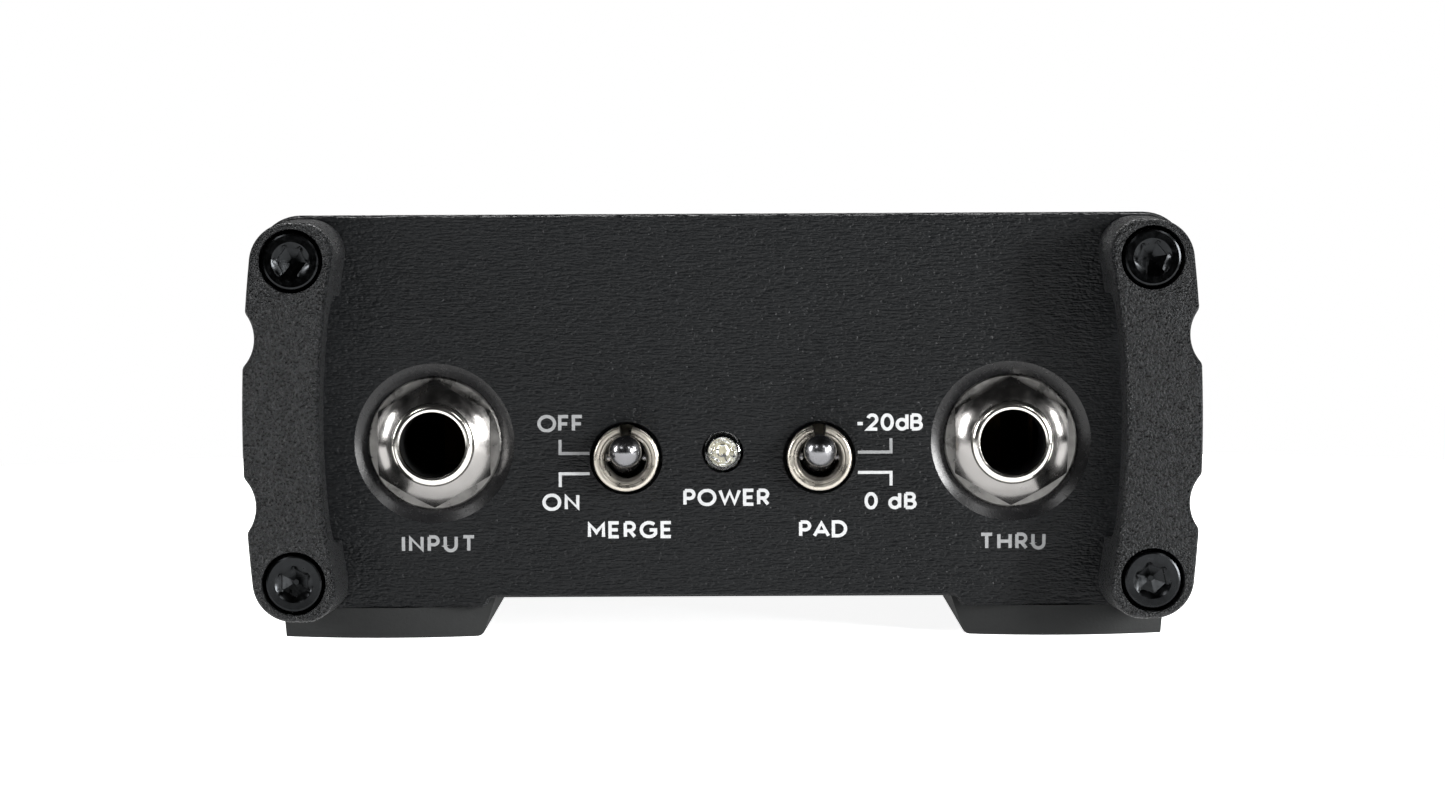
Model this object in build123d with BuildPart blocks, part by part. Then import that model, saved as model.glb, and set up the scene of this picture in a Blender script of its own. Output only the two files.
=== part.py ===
from build123d import *
import os
from math import cos, radians

# A direct injection box: an extruded case with four cast bumpers and its audio hardware.
# Millimetres. +Z is up, the front panel faces -Y and +X is to the right of someone facing it.
# The origin is on the ground, under the middle of the box.

os.makedirs("parts", exist_ok=True)

# Case
CASE_HALF_WIDTH = 45.7
CASE_TOP = 41.65
CASE_SIDE_BOTTOM = 2.95
CASE_MIDDLE_BOTTOM = 3.95
STEP_INNER_X = 22.5
STEP_OUTER_X = 23.9
TOP_CORNER_RADIUS = 4.4
BOTTOM_CORNER_RADIUS = 3.3
WALL = 2.0
PANEL_THICKNESS = 2.5
PANEL_FACE_Y = 51.0
CASE_END_Y = PANEL_FACE_Y - PANEL_THICKNESS

# Screw ports in the corners of the case, and the bumper screws (M3)
PORT_X = 41.3
PORT_Z = 21.75
PORT_HALF_SPACING = 15.5
PORT_RADIUS = 3.0
THREAD_RADIUS = 1.5
SHANK_RADIUS = 1.46
CLEARANCE_HOLE_RADIUS = 1.7
HEAD_RADIUS = 2.8
HEAD_HEIGHT = 3.0
HEX_SOCKET_FLATS = 2.5
HEX_SOCKET_DEPTH = 1.5
BUMPER_SCREW_LENGTH = 20.0

# Bumpers
BUMPER_DEPTH = 9.0
BUMPER_HALF_HEIGHT = 19.2
BUMPER_OUTER_X = 46.1
BUMPER_OUTER_BOW = 150.0
BUMPER_INNER_X = 38.7
BUMPER_INNER_BOW = 88.0
BAR_THICKNESS = 3.0
BUMPER_GAP_HALF_HEIGHT = 12.0
COUNTERBORE_RADIUS = 3.1
COUNTERBORE_DEPTH = 3.3
SCALLOP_Z = 8.1
SCALLOP_RADIUS = 4.0
SCALLOP_DEPTH = 1.0

# Rubber feet
FOOT_OUTER_X = 43.6
FOOT_INNER_X = 23.8
FOOT_SIDE_DRAFT = 0.3
FOOT_HEIGHT = CASE_SIDE_BOTTOM
FOOT_END_Y = 51.0
FOOT_END_BOW = 2.4
FOOT_RIB_X = 33.5
FOOT_RIB_WIDTH = 2.9
FOOT_RIB_HEIGHT = 1.1

# Circuit board
BOARD_TOP = 10.9
BOARD_THICKNESS = 1.6
BOARD_HALF_WIDTH = 43.3
BOARD_FRONT_Y = -47.5
BOARD_BACK_Y = 44.5
PIN_END_Z = 7.9
PIN_SIZE = 0.8
PIN_HOLE_RADIUS = 0.7
RAIL_DEPTH = 1.5
RAIL_THICKNESS = 1.0
RAIL_GAP = 0.15

# 6.35 mm jack sockets
JACK_X = 28.35
JACK_Z = 19.2
JACK_BORE_RADIUS = 3.25
JACK_RECESS_RADIUS = 7.87
JACK_RECESS_DEPTH = 1.0
JACK_WASHER_RADIUS = 6.55
JACK_WASHER_THICKNESS = 0.6
JACK_NUT_FLATS = 11.0
JACK_NUT_FRONT = 2.9
JACK_BUSHING_RADIUS = 4.5
JACK_BUSHING_FRONT = 1.3
JACK_HOUSING_WIDTH = 16.0
JACK_HOUSING_LENGTH = 29.0
JACK_HOUSING_TOP = 7.3
JACK_CAVITY_WIDTH = 9.6
JACK_CAVITY_TOP = 5.8
JACK_CAVITY_START = 6.5
CONTACT_THICKNESS = 0.4
CONTACT_WIDTH = 2.4
SWITCH_CONTACT_DEPTH = 25.0
SWITCH_CONTACT_LEG_X = 4.0

# Miniature toggle switches
SWITCH_Z = 17.65
FRONT_SWITCH_X = 9.5
LIFT_SWITCH_X = 27.0
PIVOT_BEHIND_PANEL = -1.4
SWITCH_HOLE_RADIUS = 3.6
SWITCH_BUSHING_RADIUS = 3.175
SWITCH_BUSHING_FRONT = 3.2
LEVER_TILT = 10.0
LEVER_LENGTH = 4.8
LEVER_TIP_RADIUS = 1.6
LEVER_NECK_RADIUS = 1.0
LEVER_BALL_RADIUS = 1.7
LEVER_PIN_RADIUS = 0.55
LEVER_PIN_HALF_LENGTH = 2.3
LEVER_TUBE_RADIUS = 1.3
LEVER_TUBE_LENGTH = 3.6
PLUNGER_RADIUS = 0.75
PLUNGER_END = 5.0
PLUNGER_START = 1.6
ROCKER_TILT = LEVER_TILT * 2 / 3
ROCKER_AXIS_DEPTH = 6.1
ROCKER_LENGTH = 8.4
ROCKER_WIDTH = 2.4
ROCKER_PIN_RADIUS = 0.35
SWITCH_CASE_WIDTH = 6.8
SWITCH_CASE_HEIGHT = 12.7
SWITCH_CASE_FRONT = -2.6
SWITCH_CASE_BACK = -10.4
TERMINAL_SPACING = 4.0
TERMINAL_BENDS = (-16.5, -14.0, -11.5)

# Power light
LED_Z = 18.2
LED_RADIUS = 1.5
LED_HOLE_RADIUS = 2.05
LED_LEAD_X = 1.27

# Three-pole XLR output socket, in the common 19 x 24 mm hole pattern
XLR_Z = 23.0
XLR_SHELL_RADIUS = 11.8
XLR_BORE_RADIUS = 9.6
XLR_FLANGE_WIDTH = 26.0
XLR_FLANGE_HEIGHT = 31.0
XLR_FLANGE_THICKNESS = 2.0
XLR_SCREW_X = 9.5
XLR_SCREW_Y = 12.0
XLR_FACE_DEPTH = 13.6
XLR_BACK_DEPTH = 19.0
XLR_PIN_RADIUS = 1.2
XLR_PIN_CIRCLE = 4.76
XLR_PIN_TIP_DEPTH = 2.1
XLR_PIN_ANGLES = (270, 30, 150)
XLR_TAIL_DEPTH = 21.5
XLR_SCREW_HEAD_RADIUS = 2.85
XLR_SCREW_LENGTH = 6.0
CROSS_SLOT_LENGTH = 2.6
CROSS_SLOT_WIDTH = 0.6
CROSS_SLOT_DEPTH = 1.0


def facing(x, y, z, side):
    """A plane whose +Z points out of the front panel (side -1) or the rear panel (side +1), with +Y up."""
    return Plane(origin=(x, y, z), x_dir=(-side, 0, 0), z_dir=(0, side, 0))


def section(place):
    """The upright plane through a place's axis: its X is the radius and its Y points outwards."""
    return Plane(origin=place.origin, x_dir=place.x_dir, z_dir=-place.y_dir)


def side_view(place, x=0.0):
    """The plane seen from the place's side: its X points outwards and its Y points up."""
    origin = place.from_local_coords((x, 0, 0))
    return Plane(origin=origin, x_dir=place.z_dir, z_dir=-place.x_dir)


def axis_of(place):
    return Axis(place.origin, place.z_dir)


def tilted(place, degrees):
    """The same place with its outward direction turned about its own X."""
    outward = place.z_dir.rotate(Axis((0, 0, 0), place.x_dir), degrees)
    return Plane(origin=place.origin, x_dir=place.x_dir, z_dir=outward)


def save(piece, name):
    piece.part.label = name
    export_step(piece.part, f"parts/{name}.step")


jack_places = {
    "input": facing(-JACK_X, -PANEL_FACE_Y, JACK_Z, -1),
    "thru": facing(JACK_X, -PANEL_FACE_Y, JACK_Z, -1),
}
pivot_y = PANEL_FACE_Y + PIVOT_BEHIND_PANEL
switch_places = {
    "merge": facing(-FRONT_SWITCH_X, -pivot_y, SWITCH_Z, -1),
    "pad": facing(FRONT_SWITCH_X, -pivot_y, SWITCH_Z, -1),
    "lift": facing(LIFT_SWITCH_X, pivot_y, SWITCH_Z, 1),
}
led_place = facing(0, -PANEL_FACE_Y, LED_Z, -1)
xlr_place = facing(0, PANEL_FACE_Y, XLR_Z, 1)
port_points = [(x, PORT_Z + up) for x in (-PORT_X, PORT_X) for up in (-PORT_HALF_SPACING, PORT_HALF_SPACING)]


# ---------------------------------------------------------------- case

def case_outline():
    """The case's outline seen from the front, its underside stepped up in the middle, as a flat sketch."""
    step_x = (STEP_INNER_X + STEP_OUTER_X) / 2
    step_z = (CASE_SIDE_BOTTOM + CASE_MIDDLE_BOTTOM) / 2
    with BuildSketch() as outline:
        with BuildLine():
            Polyline(
                (STEP_OUTER_X, CASE_SIDE_BOTTOM),
                (CASE_HALF_WIDTH, CASE_SIDE_BOTTOM),
                (CASE_HALF_WIDTH, CASE_TOP),
                (0, CASE_TOP),
            )
            Line((0, CASE_MIDDLE_BOTTOM), (STEP_INNER_X, CASE_MIDDLE_BOTTOM))
            TangentArc((STEP_INNER_X, CASE_MIDDLE_BOTTOM), (step_x, step_z), tangent=(1, 0))
            TangentArc((STEP_OUTER_X, CASE_SIDE_BOTTOM), (step_x, step_z), tangent=(-1, 0))
            mirror(about=Plane.YZ)
        make_face()
        fillet(outline.vertices().group_by(Axis.Y)[-1], TOP_CORNER_RADIUS)
        lowest = outline.vertices().group_by(Axis.Y)[0].sort_by(Axis.X)
        fillet([lowest[0], lowest[-1]], BOTTOM_CORNER_RADIUS)
    return outline.sketch


outline = case_outline()

with BuildPart() as body_shell:
    with BuildSketch(Plane.XZ):
        add(outline)
        offset(outline, amount=-WALL, mode=Mode.SUBTRACT)
    extrude(amount=CASE_END_Y, both=True)
    # Board rails on the side walls, one under and one over the board's edge
    board_bottom = BOARD_TOP - BOARD_THICKNESS
    rail_x = CASE_HALF_WIDTH - WALL - RAIL_DEPTH / 2
    rail_z = (board_bottom - RAIL_GAP - RAIL_THICKNESS / 2, BOARD_TOP + RAIL_GAP + RAIL_THICKNESS / 2)
    with BuildSketch(Plane.XZ):
        with Locations(*[(x, z) for x in (-rail_x, rail_x) for z in rail_z]):
            Rectangle(RAIL_DEPTH + 0.2, RAIL_THICKNESS)
        with Locations(*port_points):
            Circle(PORT_RADIUS)
    extrude(amount=CASE_END_Y, both=True)
    # Trim what the ports and rails leave outside the outline, then bore the ports
    with BuildSketch(Plane.XZ):
        add(outline)
    extrude(amount=CASE_END_Y, both=True, mode=Mode.INTERSECT)
    with BuildSketch(Plane.XZ):
        with Locations(*port_points):
            Circle(THREAD_RADIUS)
    extrude(amount=CASE_END_Y, both=True, mode=Mode.SUBTRACT)
    # Grooves along the underside that hold the feet's ribs
    with BuildSketch(Plane.XZ):
        with Locations((-FOOT_RIB_X, CASE_SIDE_BOTTOM), (FOOT_RIB_X, CASE_SIDE_BOTTOM)):
            Rectangle(FOOT_RIB_WIDTH + 0.1, 2 * (FOOT_RIB_HEIGHT + 0.1))
    extrude(amount=CASE_END_Y, both=True, mode=Mode.SUBTRACT)
save(body_shell, "body_shell")


def panel(side):
    """A blank end panel with its four bumper screw holes."""
    with BuildPart() as plate:
        with BuildSketch(Plane.XZ.offset(-side * PANEL_FACE_Y)):
            add(outline)
            with Locations(*port_points):
                Circle(CLEARANCE_HOLE_RADIUS, mode=Mode.SUBTRACT)
        extrude(amount=side * PANEL_THICKNESS)
        rim = plate.faces().sort_by(Axis.Y)[0 if side < 0 else -1].outer_wire().edges()
        chamfer(rim, 0.25)
    return plate.part


with BuildPart() as front_panel:
    add(panel(-1))
    for place in jack_places.values():
        with BuildSketch(place):
            Circle(JACK_RECESS_RADIUS)
        extrude(amount=-JACK_RECESS_DEPTH, mode=Mode.SUBTRACT)
        with BuildSketch(place):
            Circle(JACK_BUSHING_RADIUS + 0.2)
        extrude(amount=-PANEL_THICKNESS, mode=Mode.SUBTRACT)
    with BuildSketch(Plane.XZ.offset(PANEL_FACE_Y)):
        with Locations((-FRONT_SWITCH_X, SWITCH_Z), (FRONT_SWITCH_X, SWITCH_Z)):
            Circle(SWITCH_HOLE_RADIUS)
        with Locations((0, LED_Z)):
            Circle(LED_HOLE_RADIUS)
    extrude(amount=-PANEL_THICKNESS, mode=Mode.SUBTRACT)
save(front_panel, "front_panel")

with BuildPart() as rear_panel:
    add(panel(1))
    with BuildSketch(Plane.XZ.offset(-PANEL_FACE_Y)):
        with Locations((LIFT_SWITCH_X, SWITCH_Z)):
            Circle(SWITCH_HOLE_RADIUS)
        with Locations((0, XLR_Z)):
            Circle(XLR_SHELL_RADIUS + 0.2)
        with Locations((XLR_SCREW_X, XLR_Z + XLR_SCREW_Y), (-XLR_SCREW_X, XLR_Z - XLR_SCREW_Y)):
            Circle(THREAD_RADIUS)
    extrude(amount=PANEL_THICKNESS, mode=Mode.SUBTRACT)
save(rear_panel, "rear_panel")


# ---------------------------------------------------------------- bumpers

def bowed_x(crown_x, bow_radius, height):
    """Where an edge that is bowed outwards at mid height stands at another height."""
    return crown_x - height**2 / (2 * bow_radius)


def bumper(end, side):
    """One cast bumper: a bowed bar on two posts. end is -1 front or +1 rear, side is -1 left or +1 right."""
    top = PORT_Z + BUMPER_HALF_HEIGHT
    bottom = PORT_Z - BUMPER_HALF_HEIGHT
    outer_end_x = side * bowed_x(BUMPER_OUTER_X, BUMPER_OUTER_BOW, BUMPER_HALF_HEIGHT)
    inner_end_x = side * bowed_x(BUMPER_INNER_X, BUMPER_INNER_BOW, BUMPER_HALF_HEIGHT)
    tip_y = PANEL_FACE_Y + BUMPER_DEPTH
    scallop_x = side * (bowed_x(BUMPER_OUTER_X, BUMPER_OUTER_BOW, SCALLOP_Z) - SCALLOP_DEPTH + SCALLOP_RADIUS)
    with BuildPart() as casting:
        with BuildSketch(Plane.XZ.offset(-end * tip_y)) as face:
            with BuildLine():
                outer_crown = (side * BUMPER_OUTER_X, PORT_Z)
                inner_crown = (side * BUMPER_INNER_X, PORT_Z)
                outer = ThreePointArc((outer_end_x, bottom), outer_crown, (outer_end_x, top))
                inner = ThreePointArc((inner_end_x, bottom), inner_crown, (inner_end_x, top))
                Line(outer @ 0, inner @ 0)
                Line(outer @ 1, inner @ 1)
            make_face()
            by_x = face.vertices().sort_by(Axis.X)
            outer_corners = by_x[2:] if side > 0 else by_x[:2]
            fillet(outer_corners, 3.9)
            by_x = face.vertices().sort_by(Axis.X)
            inner_corners = by_x[:2] if side > 0 else by_x[-2:]
            fillet(inner_corners, 3.0)
            before = face.vertices()
            with Locations((scallop_x, PORT_Z - SCALLOP_Z), (scallop_x, PORT_Z + SCALLOP_Z)):
                Circle(SCALLOP_RADIUS, mode=Mode.SUBTRACT)
            fillet(face.vertices() - before, 0.8)
        extrude(amount=end * BUMPER_DEPTH, taper=-2)
        # The gap behind the bar, between the two posts
        gap_depth = BUMPER_DEPTH - BAR_THICKNESS
        gap_y = end * (PANEL_FACE_Y + gap_depth / 2)
        with BuildSketch(Plane.YZ) as gap:
            with Locations((gap_y, PORT_Z)):
                Rectangle(gap_depth, 2 * BUMPER_GAP_HALF_HEIGHT)
            by_depth = gap.vertices().sort_by(Axis.X)
            fillet(by_depth[2:] if end > 0 else by_depth[:2], 2.5)
        extrude(amount=side * 1.3 * BUMPER_OUTER_X, mode=Mode.SUBTRACT)
        tip = casting.faces().sort_by(Axis.Y)[-1 if end > 0 else 0]
        fillet(tip.outer_wire().edges(), 0.5)
        for up in (-PORT_HALF_SPACING, PORT_HALF_SPACING):
            with Locations(facing(side * PORT_X, end * tip_y, PORT_Z + up, end)):
                CounterBoreHole(CLEARANCE_HOLE_RADIUS, COUNTERBORE_RADIUS, COUNTERBORE_DEPTH)
    return casting


for end_name, end in (("front", -1), ("rear", 1)):
    for side_name, side in (("left", -1), ("right", 1)):
        save(bumper(end, side), f"{end_name}_{side_name}_bumper")

for end_name, end in (("front", -1), ("rear", 1)):
    with BuildPart() as bumper_screws:
        for x, z in port_points:
            seat = facing(x, end * (PANEL_FACE_Y + BUMPER_DEPTH - COUNTERBORE_DEPTH), z, end)
            with BuildSketch(seat):
                Circle(HEAD_RADIUS)
            extrude(amount=HEAD_HEIGHT)
            with BuildSketch(seat):
                Circle(SHANK_RADIUS)
            extrude(amount=-BUMPER_SCREW_LENGTH)
            with BuildSketch(seat.offset(HEAD_HEIGHT)):
                RegularPolygon(HEX_SOCKET_FLATS / 2, 6, major_radius=False, rotation=30)
            extrude(amount=-HEX_SOCKET_DEPTH, mode=Mode.SUBTRACT)
        rims = bumper_screws.edges().filter_by(GeomType.CIRCLE).group_by(Axis.Y)[-1 if end > 0 else 0]
        fillet(rims, 0.35)
    save(bumper_screws, f"{end_name}_bumper_screws")


# ---------------------------------------------------------------- feet

for side_name, side in (("left", -1), ("right", 1)):
    with BuildPart() as foot:
        with BuildSketch(Plane.XZ) as profile:
            with BuildLine():
                step_x = side * (STEP_INNER_X + STEP_OUTER_X) / 2
                step_z = (CASE_SIDE_BOTTOM + CASE_MIDDLE_BOTTOM) / 2
                under_step = TangentArc(
                    (side * STEP_OUTER_X, CASE_SIDE_BOTTOM), (step_x, step_z), tangent=(-side, 0)
                )
                over_step = TangentArc(
                    (side * STEP_INNER_X, CASE_MIDDLE_BOTTOM), (step_x, step_z), tangent=(side, 0)
                )
                Polyline(
                    over_step @ 0,
                    (side * FOOT_INNER_X, 0),
                    (side * (FOOT_OUTER_X - FOOT_SIDE_DRAFT), 0),
                    (side * FOOT_OUTER_X, CASE_SIDE_BOTTOM),
                    under_step @ 0,
                )
            make_face()
            inner_toe = profile.vertices().group_by(Axis.Y)[0].sort_by(Axis.X)[0 if side > 0 else -1]
            fillet(inner_toe, 0.8)
            with Locations((side * FOOT_RIB_X, CASE_SIDE_BOTTOM)):
                Rectangle(FOOT_RIB_WIDTH, 2 * FOOT_RIB_HEIGHT)
        extrude(amount=FOOT_END_Y, both=True)
        # The rib stops where the case stops
        with BuildSketch(Plane.XY.offset(CASE_SIDE_BOTTOM)):
            for end in (-1, 1):
                with Locations((side * FOOT_RIB_X, end * (FOOT_END_Y + CASE_END_Y) / 2)):
                    Rectangle(FOOT_RIB_WIDTH + 1, FOOT_END_Y - CASE_END_Y + 0.1)
        extrude(amount=3, mode=Mode.SUBTRACT)
        # Bowed ends, seen from above
        middle_x = side * (FOOT_OUTER_X + STEP_INNER_X) / 2
        near_x, far_x = side * (STEP_INNER_X - 1), side * (FOOT_OUTER_X + 1)
        with BuildSketch(Plane.XY):
            with BuildLine():
                corner_y = FOOT_END_Y - FOOT_END_BOW
                front = ThreePointArc((near_x, -corner_y), (middle_x, -FOOT_END_Y), (far_x, -corner_y))
                back = ThreePointArc((near_x, corner_y), (middle_x, FOOT_END_Y), (far_x, corner_y))
                Line(front @ 0, back @ 0)
                Line(front @ 1, back @ 1)
            make_face()
        extrude(amount=2 * FOOT_HEIGHT, mode=Mode.INTERSECT)
    save(foot, f"{side_name}_foot")


# ---------------------------------------------------------------- jack sockets

def strip(place, points, width, x=0.0):
    """A bent strip of sheet metal: its path is seen from the side, as (outward, up) points."""
    with BuildPart() as metal:
        with BuildSketch(side_view(place, x)):
            with BuildLine() as path:
                Polyline(*points)
            trace(path.line, line_width=CONTACT_THICKNESS)
        extrude(amount=width / 2, both=True)
    return metal


def jack_housing(place):
    """The moulded housing with its threaded bushing, hollow and open underneath."""
    floor = BOARD_TOP - JACK_Z
    roof = JACK_HOUSING_TOP
    with BuildPart(place) as housing:
        with BuildSketch(place.offset(-PANEL_THICKNESS)):
            with Locations((0, (floor + roof) / 2)):
                Rectangle(JACK_HOUSING_WIDTH, roof - floor)
        extrude(amount=-JACK_HOUSING_LENGTH)
        fillet(housing.edges().filter_by(Axis.Y), 0.6)
        with BuildSketch(place.offset(-PANEL_THICKNESS)):
            Circle(JACK_BUSHING_RADIUS)
        extrude(amount=PANEL_THICKNESS + JACK_BUSHING_FRONT)
        with BuildSketch(place.offset(JACK_BUSHING_FRONT)):
            Circle(JACK_BORE_RADIUS)
        extrude(amount=-12, mode=Mode.SUBTRACT)
        with BuildSketch(place.offset(-JACK_CAVITY_START)):
            with Locations((0, (floor + JACK_CAVITY_TOP) / 2)):
                Rectangle(JACK_CAVITY_WIDTH, JACK_CAVITY_TOP - floor)
        extrude(amount=-24, mode=Mode.SUBTRACT)
    return housing


def jack_nut(place):
    """A hexagonal nut with a domed nose that closes over the bushing's end."""
    corner_radius = JACK_NUT_FLATS / 2 / cos(radians(30))
    thread_radius = JACK_BUSHING_RADIUS + 0.05
    back = JACK_WASHER_THICKNESS - JACK_RECESS_DEPTH
    with BuildPart() as nut:
        with BuildSketch(section(place)):
            with BuildLine():
                rim_radius = corner_radius + 0.01
                dome = RadiusArc((rim_radius, 0.5), (JACK_BORE_RADIUS + 0.35, JACK_NUT_FRONT), -5.2)
                Polyline(
                    dome @ 1,
                    (JACK_BORE_RADIUS, JACK_NUT_FRONT - 0.15),
                    (JACK_BORE_RADIUS, JACK_BUSHING_FRONT + 0.1),
                    (thread_radius, JACK_BUSHING_FRONT + 0.1),
                    (thread_radius, back),
                    (rim_radius, back),
                    dome @ 0,
                )
            make_face()
        revolve(axis=axis_of(place))
        with BuildSketch(place.offset(back)):
            RegularPolygon(JACK_NUT_FLATS / 2, 6, major_radius=False, rotation=30)
        extrude(amount=5, mode=Mode.INTERSECT)
    return nut


def jack_washer(place):
    with BuildPart() as washer:
        with BuildSketch(place.offset(-JACK_RECESS_DEPTH)):
            Circle(JACK_WASHER_RADIUS)
            Circle(JACK_BUSHING_RADIUS + 0.1, mode=Mode.SUBTRACT)
        extrude(amount=JACK_WASHER_THICKNESS)
        front = washer.edges().filter_by(GeomType.CIRCLE).group_by(Axis.Y)[0].sort_by(SortBy.RADIUS)[-1]
        chamfer(front, 0.15)
    return washer


def switch_contact(place):
    """The fixed contact over the tip spring: a plate along the roof and a leg down one side."""
    leg_end = PIN_END_Z - JACK_Z
    plate_top = JACK_CAVITY_TOP - 0.3
    with BuildPart(place) as contact:
        with Locations((1.5, plate_top - CONTACT_THICKNESS / 2, -SWITCH_CONTACT_DEPTH)):
            Box(5.4, CONTACT_THICKNESS, 6)
        with Locations((SWITCH_CONTACT_LEG_X, (plate_top + leg_end) / 2, -SWITCH_CONTACT_DEPTH)):
            Box(CONTACT_THICKNESS, plate_top - leg_end, PIN_SIZE)
    return contact


pin_drop = PIN_END_Z - JACK_Z
tip_spring_path = [(-22, 4.3), (-25.6, 2.3), (-28.2, 4.2), (-29.6, 3.4), (-29.6, pin_drop)]
ring_spring_path = [(-24.4, -5.2), (-20.8, -3.6), (-17.6, -5.0), (-17.6, pin_drop)]
sleeve_contact_path = [(-13.6, -5.2), (-10.6, -3.6), (-8.0, -5.0), (-8.0, pin_drop)]

for name, place in jack_places.items():
    save(jack_housing(place), f"{name}_jack_housing")
    save(jack_nut(place), f"{name}_jack_nut")
    save(jack_washer(place), f"{name}_jack_washer")
    save(strip(place, tip_spring_path, CONTACT_WIDTH), f"{name}_jack_tip_spring")
    save(strip(place, ring_spring_path, CONTACT_WIDTH), f"{name}_jack_ring_spring")
    save(strip(place, sleeve_contact_path, CONTACT_WIDTH), f"{name}_jack_sleeve_contact")
    save(switch_contact(place), f"{name}_jack_switch_contact")


# ---------------------------------------------------------------- toggle switches

def switch_bushing(place):
    """The plated bushing: a seat for the lever's ball behind a flared mouth, with a keyway on top."""
    with BuildPart() as bushing:
        with BuildSketch(section(place)):
            with BuildLine():
                Polyline(
                    (1.85, -2.55),
                    (SWITCH_BUSHING_RADIUS, -2.55),
                    (SWITCH_BUSHING_RADIUS, -2.0),
                    (3.9, -2.0),
                    (3.9, -1.45),
                    (SWITCH_BUSHING_RADIUS, -1.45),
                    (SWITCH_BUSHING_RADIUS, SWITCH_BUSHING_FRONT - 0.3),
                    (SWITCH_BUSHING_RADIUS - 0.3, SWITCH_BUSHING_FRONT),
                    (2.45, SWITCH_BUSHING_FRONT),
                    (2.05, SWITCH_BUSHING_FRONT - 0.5),
                    (1.6, 1.0),
                    (1.85, 0.7),
                    close=True,
                )
            make_face()
        revolve(axis=axis_of(place))
        with BuildSketch(place.offset(1.2)):
            with Locations((0, SWITCH_BUSHING_RADIUS - 0.5)):
                Rectangle(1.0, 1.6)
        extrude(amount=4, mode=Mode.SUBTRACT)
        # Slots, open at the back, where the lever's cross pin turns
        slot_front = LEVER_PIN_RADIUS + 0.05
        with BuildSketch(place.offset(slot_front)):
            Rectangle(2 * (LEVER_PIN_HALF_LENGTH + 0.15), 2 * slot_front)
        extrude(amount=-4, mode=Mode.SUBTRACT)
    return bushing


def switch_frame(place):
    """The steel strap that clamps the case to the bushing and is soldered to the board."""
    flap_x = SWITCH_CASE_WIDTH / 2 + 0.3
    tab_end = PIN_END_Z - SWITCH_Z
    board_top = BOARD_TOP - SWITCH_Z
    with BuildPart(place) as frame:
        with Locations((0, 0, -2.275)):
            Box(2 * flap_x + 0.4, 12.6, 0.55)
        Hole(SWITCH_BUSHING_RADIUS + 0.03, depth=10)
        for x in (-flap_x, flap_x):
            with Locations((x, -0.5, -5.6)):
                Box(0.4, 8, 7.2)
            with Locations((x, (tab_end + board_top) / 2 + 1, -8.0)):
                Box(0.4, board_top - tab_end + 4, PIN_SIZE)
    return frame


def switch_case(place):
    depth = SWITCH_CASE_FRONT - SWITCH_CASE_BACK
    with BuildPart(place) as case:
        with Locations((0, 0, (SWITCH_CASE_FRONT + SWITCH_CASE_BACK) / 2)):
            Box(SWITCH_CASE_WIDTH, SWITCH_CASE_HEIGHT, depth)
        fillet(case.edges().filter_by(Axis.Y), 0.4)
        with Locations((0, 0, SWITCH_CASE_FRONT - 3.0)):
            Box(4.4, 10.6, 6.0, mode=Mode.SUBTRACT)
        with Locations(*[(0, row * TERMINAL_SPACING, SWITCH_CASE_BACK) for row in (-1, 0, 1)]):
            Box(PIN_SIZE + 0.1, PIN_SIZE + 0.1, 6.0, mode=Mode.SUBTRACT)
    return case


def lever_place(place):
    """The lever stands at its upper throw."""
    return tilted(place, -LEVER_TILT)


def switch_lever(place):
    """The plated bat: a round tip, a slim neck, the pivot ball with its cross pin and the plunger's tube."""
    bat = lever_place(place)
    with BuildPart() as lever:
        with BuildSketch(section(bat)):
            with BuildLine():
                Polyline(
                    (LEVER_NECK_RADIUS, 0),
                    (LEVER_NECK_RADIUS, 1.6),
                    (LEVER_NECK_RADIUS + 0.3, LEVER_LENGTH - 0.9),
                    (0, LEVER_LENGTH - 0.9),
                    (0, 0),
                    close=True,
                )
            make_face()
        revolve(axis=axis_of(bat))
        with Locations(bat.offset(LEVER_LENGTH)):
            Sphere(LEVER_TIP_RADIUS)
        with Locations(bat):
            Sphere(LEVER_BALL_RADIUS)
        with BuildSketch(side_view(bat)):
            Circle(LEVER_PIN_RADIUS)
        extrude(amount=LEVER_PIN_HALF_LENGTH, both=True)
        with BuildSketch(bat):
            Circle(LEVER_TUBE_RADIUS)
        extrude(amount=-LEVER_TUBE_LENGTH)
        with BuildSketch(bat.offset(-LEVER_TUBE_LENGTH)):
            Circle(PLUNGER_RADIUS + 0.03)
        extrude(amount=LEVER_TUBE_LENGTH - 0.4, mode=Mode.SUBTRACT)
    return lever


def switch_plunger(place):
    """The sliding nylon pin whose round end presses on the rocker."""
    bat = lever_place(place)
    round_end = PLUNGER_END - PLUNGER_RADIUS
    with BuildPart() as plunger:
        with BuildSketch(bat.offset(-PLUNGER_START)):
            Circle(PLUNGER_RADIUS)
        extrude(amount=PLUNGER_START - round_end)
        with Locations(bat.offset(-round_end)):
            Sphere(PLUNGER_RADIUS)
    return plunger


def switch_rocker(place):
    """The moving contact: a strip on a round rib that rolls on the middle terminal."""
    fulcrum = tilted(place.offset(-ROCKER_AXIS_DEPTH), ROCKER_TILT)
    with BuildPart() as rocker:
        with BuildSketch(fulcrum.offset(0.3)):
            Rectangle(ROCKER_WIDTH, ROCKER_LENGTH)
        extrude(amount=0.5)
        with BuildSketch(side_view(fulcrum)):
            Circle(ROCKER_PIN_RADIUS)
        extrude(amount=0.8, both=True)
    return rocker


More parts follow.
